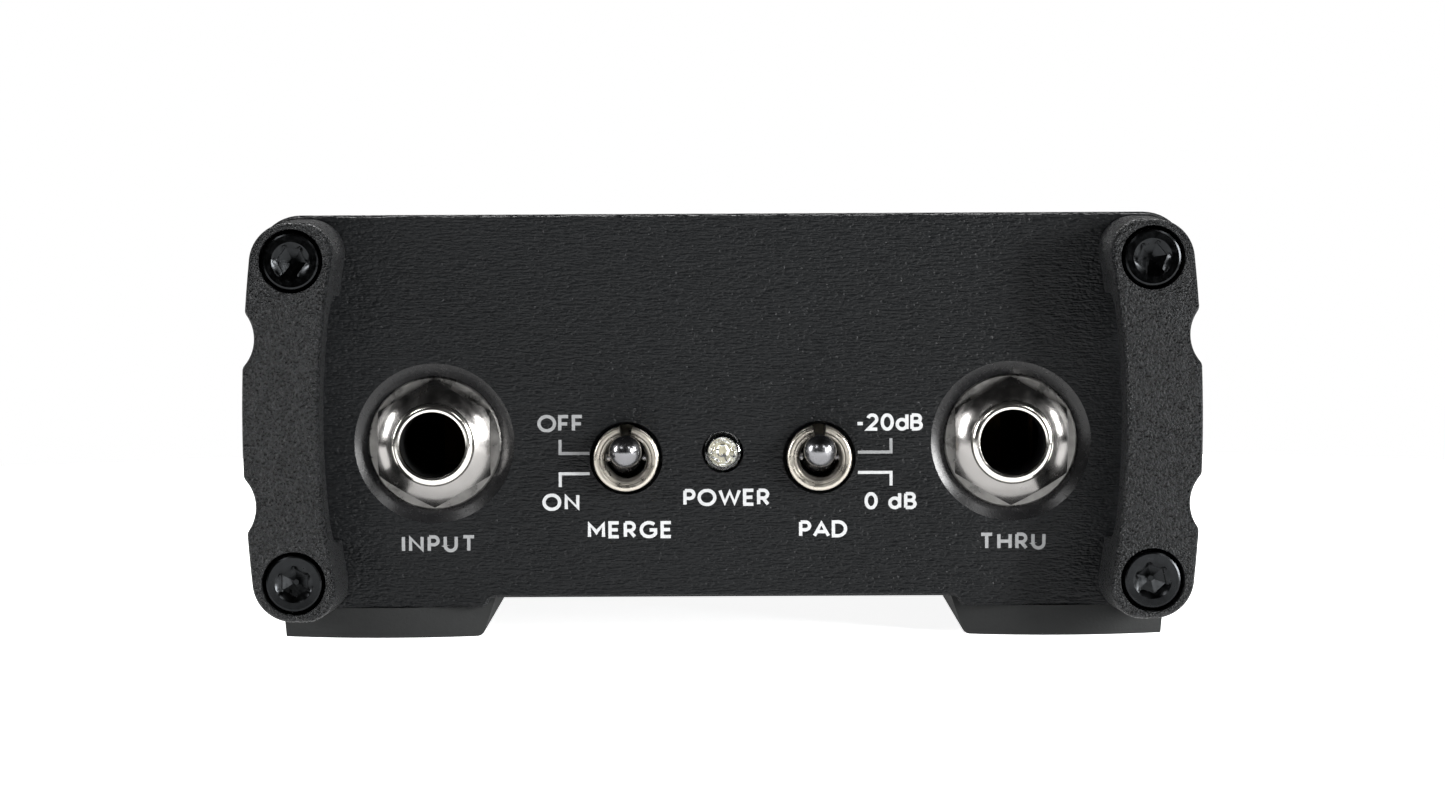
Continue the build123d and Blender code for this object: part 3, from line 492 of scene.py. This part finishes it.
# The jack sockets' pieces, in mm, with heights from the panel's face
NUT_FLATS = 11.0
NUT_OUTLINE_RADIUS = 6.4
NUT_HOLE_RADIUS = 4.55
NUT_LIP_RADIUS = 4.1
NUT_BACK = -0.4
NUT_DOME_CENTRE = (1.61, -2.43)
NUT_DOME_RADIUS = 5.3
JACK_BORE_RADIUS = 3.25
NOSE_BACK = 1.35
NOSE_FRONT = 2.9
NOSE_ROUND_RADIUS = 0.6
NOSE_ROUND_CENTRE = JACK_BORE_RADIUS + 0.22
NOSE_BORE_EDGE = 2.7
DISH_OUTLINE = ((7.87, -0.02), (7.87, -0.99), (6.6, -0.99), (6.6, -0.6))


def jack_nut(place):
    """A hexagon nut with a domed face that runs up to the nose."""
    back = [(NUT_HOLE_RADIUS, NUT_BACK), (NUT_OUTLINE_RADIUS, NUT_BACK)]
    dome = arc(*NUT_DOME_CENTRE, NUT_DOME_RADIUS, NUT_DOME_RADIUS, 27, 62, 10)
    outline = [*back, *dome, (NUT_LIP_RADIUS, NOSE_BACK), (NUT_HOLE_RADIUS, NOSE_BACK)]
    bm = bmesh.new()
    turned(bm, outline, Matrix.Identity(4), 96)
    for flat in range(6):
        way = Matrix.Rotation(math.radians(60 * flat), 3, "Z") @ Vector((1, 0, 0))
        cut = bmesh.ops.bisect_plane(
            bm,
            geom=list(bm.verts) + list(bm.edges) + list(bm.faces),
            plane_co=way * NUT_FLATS / 2 * MM,
            plane_no=way,
            clear_outer=True,
        )["geom_cut"]
        bmesh.ops.holes_fill(bm, edges=[item for item in cut if isinstance(item, bmesh.types.BMEdge)])
    bmesh.ops.recalc_face_normals(bm, faces=bm.faces)
    bmesh.ops.transform(bm, matrix=place, verts=bm.verts)
    return bm


def jack_nose(place):
    """The bushing's polished end, which rolls over the nut and into the bore."""
    round_height = NOSE_FRONT - NOSE_ROUND_RADIUS
    nose = arc(NOSE_ROUND_CENTRE, round_height, NOSE_ROUND_RADIUS, NOSE_ROUND_RADIUS, 0, 112, 12)
    outer = (NOSE_ROUND_CENTRE + NOSE_ROUND_RADIUS, NOSE_BACK)
    outline = [outer, *nose, (JACK_BORE_RADIUS, NOSE_BORE_EDGE), (JACK_BORE_RADIUS, NOSE_BACK)]
    bm = bmesh.new()
    turned(bm, outline, place, 96)
    return bm


class DIBOX_OT_sockets(bpy.types.Operator):
    """Fits the jack sockets' nuts and dished rings, and finishes the output socket"""

    bl_idname = "dibox.sockets"
    bl_label = "Jack and output sockets"

    def execute(self, context):
        nickel = plated_metal("nickel_plate", "#cfccc6", 0.16, 0.003)
        satin = plated_metal("satin_nickel_plate", "#8a8886", 0.2, 0.003, 0.05)
        paint(nickel, "xlr_pins")
        enamel = moulded_plastic("satin_black_enamel", "#121213", 0.26, 0.003)
        for socket in ("input", "thru"):
            node = f"{socket}_jack_nut"
            middle = middle_of(node)
            place = facing(middle.x, PANEL_FACE_Y, middle.z, -1)
            finish_piece(f"{socket}_nut", jack_nut(place), satin, replaced=[node])
            finish_piece(f"{socket}_nose", jack_nose(place), nickel)
            bm = bmesh.new()
            turned(bm, DISH_OUTLINE, place, 96)
            finish_piece(f"{socket}_dish", bm, enamel)
        paint(plated_metal("dulled_nickel", "#6e6d6b", 0.3, 0.01, 0.3), *named("_jack_washer"))
        paint(moulded_plastic("glass_filled_nylon", "#0a0a0a", 0.6), *named("_jack_housing"), "xlr_insert")
        contacts = named("_tip_spring", "_ring_spring", "_sleeve_contact", "_switch_contact")
        # The contacts' bronze is darkened as painted shade, so that the bore reads dark
        paint(plated_metal("shade_darkened_bronze", "#5a4630", 0.5, 0.002), *contacts)
        paint(plated_metal("black_nickel", "#2c2d31", 0.3, 0.004), "xlr_shell")
        return {"FINISHED"}


# The toggles' bushings, and the black rings behind their panel holes, in mm; the height of the rim is that
# of the CAD bushing's front face
BUSHING_RADIUS = 3.175
BUSHING_BACK = -2.55
BUSHING_RIM = 3.14
THREAD_ROOT_RADIUS = 2.95
THREAD_START = 2.05
THREAD_PITCH = 0.2
THREAD_TURNS = 3
KEYWAY_WIDTH = 1.35
THREAD_OUTLINE = [
    ((BUSHING_RADIUS, THREAD_ROOT_RADIUS)[half_turn % 2], THREAD_START + THREAD_PITCH / 2 * half_turn)
    for half_turn in range(2 * THREAD_TURNS + 1)
]
# Up the outside, over the rolled rim, and down the stepped hole to the back
BUSHING_OUTLINE = (
    (BUSHING_RADIUS, BUSHING_BACK),
    *THREAD_OUTLINE,
    (BUSHING_RADIUS, 3.0),
    (3.1, BUSHING_RIM),
    (2.96, 3.2),
    (2.62, 3.2),
    (2.55, BUSHING_RIM),
    (2.5, 3.02),
    (2.36, 3.02),
    (2.22, 2.92),
    (2.04, 2.6),
    (1.96, 2.2),
    (1.9, BUSHING_BACK),
)
# A black ring right behind the panel hole: a dark sheet put there as painted shade, so that the gap round
# the bushing reads dark
SHADE_RING_OUTLINE = ((3.2, -1.4), (3.2, -1.15), (3.9, -1.15), (3.9, -1.4))


class DIBOX_OT_toggles(bpy.types.Operator):
    """Fits the toggles' bushings with their thread, step and keyway, and finishes the switches"""

    bl_idname = "dibox.toggles"
    bl_label = "Toggle switches"

    def execute(self, context):
        nickel = plated_metal("champagne_nickel_plate", "#aca79d", 0.3, 0.01)
        # Near-black and matt, for the rings that paint the shade in the gaps round the bushings
        shade_black = moulded_plastic("painted_shade_black", "#0b0b0b", 0.8)
        keyway = math.degrees(KEYWAY_WIDTH / BUSHING_RADIUS)
        for switch, side in (("merge", -1), ("pad", -1), ("lift", 1)):
            node = f"{switch}_switch_bushing"
            low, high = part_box(node)
            middle = (low + high) / 2
            front_y = low.y if side < 0 else high.y
            place = facing(middle.x, front_y - side * BUSHING_RIM * MM, middle.z, side)
            up = 90 * -side
            bm = bmesh.new()
            turned(bm, BUSHING_OUTLINE, place, 72, up + keyway / 2, 360 - keyway)
            finish_piece(
                f"{switch}_bushing", bm, nickel, replaced=[node], smooth_degrees=50
            )
            # Painted shade: a black ring behind the panel hole darkens the gap round the bushing
            bm = bmesh.new()
            turned(bm, SHADE_RING_OUTLINE, place)
            finish_piece(f"{switch}_shade_ring", bm, shade_black)
        paint(plated_metal("chrome_plate", "#737375", 0.24, 0.002), *named("_switch_lever"))
        paint(moulded_plastic("red_phenolic", "#651613", 0.5), *named("_switch_case"))
        paint(moulded_plastic("natural_nylon", "#dcd6c9", 0.5), *named("_switch_plunger"))
        paint(plated_metal("tinned_steel", "#b0b0ac", 0.35, 0.003), *named("_switch_frame"))
        tinned = plated_metal("tinned_brass", "#b6b4a8", 0.3, 0.003)
        paint(tinned, *named("_switch_terminals", "_switch_rocker"), "power_led_leads")
        return {"FINISHED"}


# The light's small pieces, in mm, with heights from the lens's tip, and the collar's from the panel's face
CUP_OUTLINE = ((0.3, -2.3), (1.33, -1.3), (1.38, -1.3), (1.38, -3.0), (0.2, -3.0), (0.2, -2.3))
CUP_FACETS = 11
COLLAR_OUTLINE = ((1.53, -0.9), (1.74, -0.9), (1.78, -0.4), (1.72, -0.18), (1.6, -0.12), (1.53, -0.2))
CHIP_SIDE = 0.35
CHIP_THICKNESS = 0.2
CHIP_HEIGHT = -2.2


class DIBOX_OT_light(bpy.types.Operator):
    """Finishes the power light, fits a collar round it and the reflector cup and chip inside its lens"""

    bl_idname = "dibox.light"
    bl_label = "Power light"

    def execute(self, context):
        epoxy = clear_epoxy()
        paint(epoxy, "power_led_lens")
        paint(moulded_plastic("spacer_nylon", "#101010", 0.6), "power_led_spacer")
        low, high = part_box("power_led_lens")
        middle = (low + high) / 2
        place = facing(middle.x, low.y, middle.z, -1)
        silver = plated_metal("silvered_cup", "#fdfdfc", 0.1, 0.3)
        bm = bmesh.new()
        turned(bm, CUP_OUTLINE, place, CUP_FACETS)
        finish_piece("light_reflector_cup", bm, silver, smooth_degrees=10)
        bm = bmesh.new()
        turned(bm, COLLAR_OUTLINE, facing(middle.x, PANEL_FACE_Y, middle.z, -1), 48)
        finish_piece("light_collar", bm, epoxy)
        bm = bmesh.new()
        spot = Matrix.Translation((0, 0, CHIP_HEIGHT * MM))
        shape = Matrix.Diagonal((CHIP_SIDE * MM, CHIP_SIDE * MM, CHIP_THICKNESS * MM, 1))
        bmesh.ops.create_cube(bm, size=1, matrix=place @ spot @ shape)
        finish_piece("light_chip", bm, moulded_plastic("pale_phosphor", "#d9d2b8", 0.4))
        return {"FINISHED"}


class DIBOX_OT_electronics(bpy.types.Operator):
    """Finishes the circuit board and what is on it"""

    bl_idname = "dibox.electronics"
    bl_label = "Circuit board"

    def execute(self, context):
        paint(moulded_plastic("glass_epoxy_board", "#104325", 0.4), "circuit_board")
        paint(moulded_plastic("moulded_epoxy", "#161616", 0.5), "amplifier_chips", "resistors")
        paint(moulded_plastic("shrink_sleeve", "#14171e", 0.3), "electrolytic_capacitors")
        paint(moulded_plastic("bobbin_nylon", "#d6d1c2", 0.5), "transformer_bobbin")
        paint(moulded_plastic("winding_tape", "#9a8534", 0.35), "transformer_winding")
        paint(plated_metal("core_laminations", "#605e5a", 0.4, 0.01), "transformer_core")
        return {"FINISHED"}


def on_front_panel(x, z):
    """The place of a flat drawing on the front panel: its X stays X and its Y becomes Z."""
    return facing(x, PANEL_FACE_Y, z, -1)


# Each letter of the plain round-cornered alphabet: its width, and its strokes as lines of points.
# The unit is the height of a capital between the middles of its top and bottom strokes.
BOWL = [(0, 1), (0.30, 1)] + arc(0.30, 0.72, 0.27, 0.28, 90, -90) + [(0, 0.44)]
LETTERS = {
    "A": (0.90, [[(0, 0), (0.45, 1), (0.90, 0)], [(0.14, 0.3), (0.76, 0.3)]]),
    "B": (0.60, [[(0, 1), (0, 0)],
                 [(0, 1), (0.3, 1)] + arc(0.3, 0.76, 0.24, 0.24, 90, -90) + [(0, 0.52)],
                 [(0.3, 0.52)] + arc(0.32, 0.26, 0.27, 0.26, 90, -90) + [(0, 0)]]),
    "D": (0.78, [[(0, 0), (0, 1), (0.28, 1)] + arc(0.28, 0.5, 0.5, 0.5, 90, -90) + [(0, 0)]]),
    "E": (0.56, [[(0.56, 1), (0, 1), (0, 0), (0.56, 0)], [(0, 0.5), (0.5, 0.5)]]),
    "F": (0.54, [[(0.54, 1), (0, 1), (0, 0)], [(0, 0.48), (0.48, 0.48)]]),
    "G": (0.92, [arc(0.5, 0.5, 0.5, 0.51, 48, 322) + [(0.92, 0.24), (0.92, 0.48), (0.54, 0.48)]]),
    "H": (0.72, [[(0, 0), (0, 1)], [(0.72, 0), (0.72, 1)], [(0, 0.5), (0.72, 0.5)]]),
    "I": (0.00, [[(0, 0), (0, 1)]]),
    "M": (0.90, [[(0, 0), (0, 1), (0.45, 0.32), (0.90, 1), (0.90, 0)]]),
    "N": (0.74, [[(0, 0), (0, 1), (0.74, 0), (0.74, 1)]]),
    "O": (1.00, [arc(0.5, 0.5, 0.5, 0.51, 0, 360, 32)]),
    "P": (0.57, [[(0, 0), (0, 1)], BOWL]),
    "R": (0.60, [[(0, 0), (0, 1)], BOWL, [(0.28, 0.44), (0.60, 0)]]),
    "T": (0.70, [[(0, 1), (0.70, 1)], [(0.35, 1), (0.35, 0)]]),
    "U": (0.70, [[(0, 1), (0, 0.37)] + arc(0.35, 0.37, 0.35, 0.37, 180, 360) + [(0.70, 1)]]),
    "W": (1.24, [[(0, 1), (0.31, 0), (0.62, 1), (0.93, 0), (1.24, 1)]]),
    "d": (0.62, [arc(0.31, 0.34, 0.31, 0.34, 0, 360, 24), [(0.62, 0), (0.62, 1.04)]]),
    "0": (0.64, [arc(0.32, 0.5, 0.32, 0.51, 0, 360, 32)]),
    "2": (0.60, [arc(0.29, 0.71, 0.28, 0.30, 165, -38) + [(0.02, 0), (0.60, 0)]]),
    "-": (0.34, [[(0, 0.40), (0.34, 0.40)]]),
    " ": (0.10, []),
}


# The least cosine between a corner's mitre and its stroke's side, which keeps sharp corners short
MITRE_LIMIT = 0.4


def stroke(bm, points, width, thickness, place, half_height=1.0):
    """A flat band of ink along a line of points, its mitred corners cut level at half_height."""
    points = [Vector(point) for i, point in enumerate(points) if not i or point != points[i - 1]]
    closed = (points[0] - points[-1]).length < 1e-9
    sides = []
    for i, point in enumerate(points):
        before = points[i - 1] if i else (points[-2] if closed else None)
        after = points[i + 1] if i + 1 < len(points) else (points[1] if closed else None)
        ways = [way.normalized() for way in (before and point - before, after and after - point) if way]
        across = sum((Vector((-way.y, way.x)) for way in ways), Vector((0, 0))).normalized()
        reach = width / 2 / max(across.dot(Vector((-ways[0].y, ways[0].x))), MITRE_LIMIT)
        corners = [point + across * reach * sign for sign in (1, -1)]
        sides.append(
            [place @ Vector((x, min(max(y, -half_height), half_height), thickness)) for x, y in corners]
        )
    rows = [[bm.verts.new(corner) for corner in pair] for pair in sides]
    for (a, b), (c, d) in zip(rows, rows[1:]):
        bm.faces.new((a, b, d, c))


def printed_word(bm, word, x, z, word_width, settings):
    """A word of ink centred on x and z, its letters spaced to fill word_width."""
    width = settings.stroke_width
    unit = settings.cap_height - width
    wide_unit = unit * settings.letter_width
    letters = [LETTERS[letter] for letter in word]
    space = (word_width - width - wide_unit * sum(wide for wide, _ in letters)) / (len(word) - 1)
    place = on_front_panel(x, z)
    along = -(word_width - width) / 2
    for wide, lines in letters:
        for layer, line in enumerate(lines):
            points = [(along + across * wide_unit, (up - 0.5) * unit) for across, up in line]
            # Crossing strokes lie a hair apart so that they don't share a surface
            lift = settings.ink_thickness * (1 + layer / 8)
            stroke(bm, points, width, lift, place, settings.cap_height / 2)
        along += wide * wide_unit + space


class DIBOX_OT_legends(bpy.types.Operator):
    """Prints the generic function words and the pointer lines on the front panel"""

    bl_idname = "dibox.legends"
    bl_label = "Legends"

    def execute(self, context):
        settings = context.scene.dibox_legends
        ink = screen_print("light_grey_ink", settings.ink_colour)
        faint_ink = screen_print("grey_ink", settings.faint_ink_colour)
        # Each word's piece, letters, middle's x and z and width in mm, and ink
        words = (
            ("input", "INPUT", -28.0, 9.3, 7.3, faint_ink),
            ("thru", "THRU", 28.5, 9.3, 6.5, faint_ink),
            ("power", "POWER", 0.35, 13.75, 8.5, ink),
            ("merge", "MERGE", -9.15, 10.6, 8.35, ink),
            ("pad", "PAD", 9.85, 10.6, 4.75, ink),
            ("off", "OFF", -15.95, 21.1, 4.55, faint_ink),
            ("on", "ON", -15.95, 13.35, 3.65, ink),
            ("minus_20_db", "-20dB", 16.4, 21.1, 6.6, ink),
            ("0_db", "0 dB", 16.5, 13.35, 5.15, ink),
        )
        for name, word, x, z, wide, material in words:
            bm = bmesh.new()
            printed_word(bm, word, x * MM, z * MM, wide * MM, settings)
            finish_piece(f"legend_{name}", bm, material)
        for name, side, corner_x, end_x in (("merge", -1, 16.0, 13.1), ("pad", 1, 16.55, 13.3)):
            rows = (("upper", 18.15, 19.5, faint_ink), ("lower", 16.15, 14.85, ink))
            for row, line_z, tip_z, material in rows:
                bm = bmesh.new()
                corners = ((end_x, line_z), (corner_x, line_z), (corner_x, tip_z))
                points = [(side * x * MM, z * MM) for x, z in corners]
                stroke(bm, points, settings.line_width, settings.ink_thickness, on_front_panel(0, 0))
                finish_piece(f"legend_{name}_{row}_pointer", bm, material)
        return {"FINISHED"}


# The studio's soft lights: name, place and size in metres, and watts
SOFT_LIGHTS = (
    ("left_strip", (-0.47, -0.18, 0.17), (0.1, 0.2), 2.4),
    ("right_strip", (0.47, -0.18, 0.17), (0.1, 0.2), 2.8),
    ("left_box", (-0.26, -0.5, 0.36), (0.09, 0.09), 0.35),
    ("right_box", (0.26, -0.5, 0.36), (0.09, 0.09), 0.35),
    ("front_strip", (0.4, -0.4, 0.1), (0.1, 0.2), 4.2),
    ("rear_box", (0, 0.35, 0.5), (0.35, 0.35), 4.0),
)
LIGHT_TARGET = (0, -0.05, 0.02)
OVERHEAD_SPREAD_DEGREES = 50
WORLD_LIGHT = 0.02


def lay_floor(scene, radius):
    """A round floor of white acrylic that glows, so that it stays white under the box."""
    bm = bmesh.new()
    bmesh.ops.create_circle(bm, cap_ends=True, segments=96, radius=radius)
    mesh = bpy.data.meshes.new("floor")
    bm.to_mesh(mesh)
    bm.free()
    floor = bpy.data.objects.new("floor", mesh)
    scene.collection.objects.link(floor)
    acrylic = start_material(
        "backlit_white_acrylic",
        {
            "Base Color": linear("#f2f2f2"),
            "Roughness": 0.9,
            "Emission Color": linear("#ffffff"),
            "Emission Strength": 0.9,
        },
    )[0]
    mesh.materials.append(acrylic)


def light_world(scene):
    """A world that the camera sees as white, and that lights the box only faintly."""
    world = bpy.data.worlds.new("studio")
    world.use_nodes = True
    scene.world = world
    tree = world.node_tree
    tree.nodes.clear()
    path = add_node(tree, "ShaderNodeLightPath")
    seen = {"Value": path.outputs["Is Camera Ray"]}
    strength = add_node(tree, "ShaderNodeMapRange", {"To Min": WORLD_LIGHT, "To Max": 1.0}, seen)
    sky = add_node(
        tree, "ShaderNodeBackground", {"Color": linear("#ffffff")}, {"Strength": strength.outputs["Result"]}
    )
    add_node(tree, "ShaderNodeOutputWorld", links={"Surface": sky.outputs["Background"]})


def hang_overhead_light(scene, strength):
    """A wide light from straight above, which shiny pieces don't mirror."""
    overhead = bpy.data.lights.new("overhead", "SUN")
    overhead.energy = strength
    overhead.angle = math.radians(OVERHEAD_SPREAD_DEGREES)
    lamp = bpy.data.objects.new("overhead", overhead)
    lamp.visible_glossy = False
    scene.collection.objects.link(lamp)


def hang_soft_light(scene, name, place, size, watts):
    """A flat soft light that faces the box."""
    light = bpy.data.lights.new(name, "AREA")
    light.shape = "RECTANGLE"
    light.size, light.size_y = size
    light.energy = watts
    lamp = bpy.data.objects.new(name, light)
    lamp.location = place
    lamp.rotation_euler = (Vector(LIGHT_TARGET) - Vector(place)).to_track_quat("-Z", "Y").to_euler()
    scene.collection.objects.link(lamp)


def stand_camera(scene, settings):
    """A camera in front of the box, looking a little down."""
    lens = bpy.data.cameras.new("camera")
    lens.lens = settings.lens
    lens.sensor_width = 36
    lens.clip_start = 0.01
    camera = bpy.data.objects.new("camera", lens)
    front_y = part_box("front_left_bumper")[0].y
    camera.location = (0, front_y - settings.camera_distance, settings.camera_height)
    look = Matrix.Rotation(math.radians(90) - settings.pitch, 4, "X")
    lean = Matrix.Rotation(-settings.roll, 4, "Z")
    camera.rotation_euler = (look @ lean).to_euler()
    scene.collection.objects.link(camera)
    scene.camera = camera


class DIBOX_OT_stage(bpy.types.Operator):
    """Sets up the round white floor, the lights and the camera"""

    bl_idname = "dibox.stage"
    bl_label = "Stage"

    def execute(self, context):
        scene = context.scene
        settings = scene.dibox_stage
        lay_floor(scene, settings.floor_radius)
        light_world(scene)
        hang_overhead_light(scene, settings.floor_light)
        for light in SOFT_LIGHTS:
            hang_soft_light(scene, *light)
        stand_camera(scene, settings)
        scene.view_settings.view_transform = "Standard"
        return {"FINISHED"}


class DIBOX_PT_panel(bpy.types.Panel):
    bl_idname = "DIBOX_PT_panel"
    bl_label = "Direct injection box"
    bl_space_type = "VIEW_3D"
    bl_region_type = "UI"
    bl_category = "DI box"

    def draw(self, context):
        for operator in OPERATORS:
            self.layout.operator(operator.bl_idname)
        for group_name in GROUPS:
            group = getattr(context.scene, group_name)
            for name in group.bl_rna.properties.keys():
                if name not in ("rna_type", "name"):
                    self.layout.prop(group, name)


OPERATORS = (
    DIBOX_OT_case,
    DIBOX_OT_screws,
    DIBOX_OT_sockets,
    DIBOX_OT_toggles,
    DIBOX_OT_light,
    DIBOX_OT_electronics,
    DIBOX_OT_legends,
    DIBOX_OT_stage,
)
GROUPS = {
    "dibox_finish": DIBOX_PG_finish,
    "dibox_legends": DIBOX_PG_legends,
    "dibox_stage": DIBOX_PG_stage,
}


def register():
    for group in GROUPS.values():
        bpy.utils.register_class(group)
    for operator in OPERATORS:
        bpy.utils.register_class(operator)
    bpy.utils.register_class(DIBOX_PT_panel)
    for name, group in GROUPS.items():
        setattr(bpy.types.Scene, name, bpy.props.PointerProperty(type=group))


def unregister():
    for name in GROUPS:
        delattr(bpy.types.Scene, name)
    bpy.utils.unregister_class(DIBOX_PT_panel)
    for operator in reversed(OPERATORS):
        bpy.utils.unregister_class(operator)
    for group in GROUPS.values():
        bpy.utils.unregister_class(group)


def main():
    register()
    bpy.ops.dibox.case()
    bpy.ops.dibox.screws()
    bpy.ops.dibox.sockets()
    bpy.ops.dibox.toggles()
    bpy.ops.dibox.light()
    bpy.ops.dibox.electronics()
    bpy.ops.dibox.legends()
    bpy.ops.dibox.stage()
    bpy.context.view_layer.update()


if __name__ == "__main__":
    main()
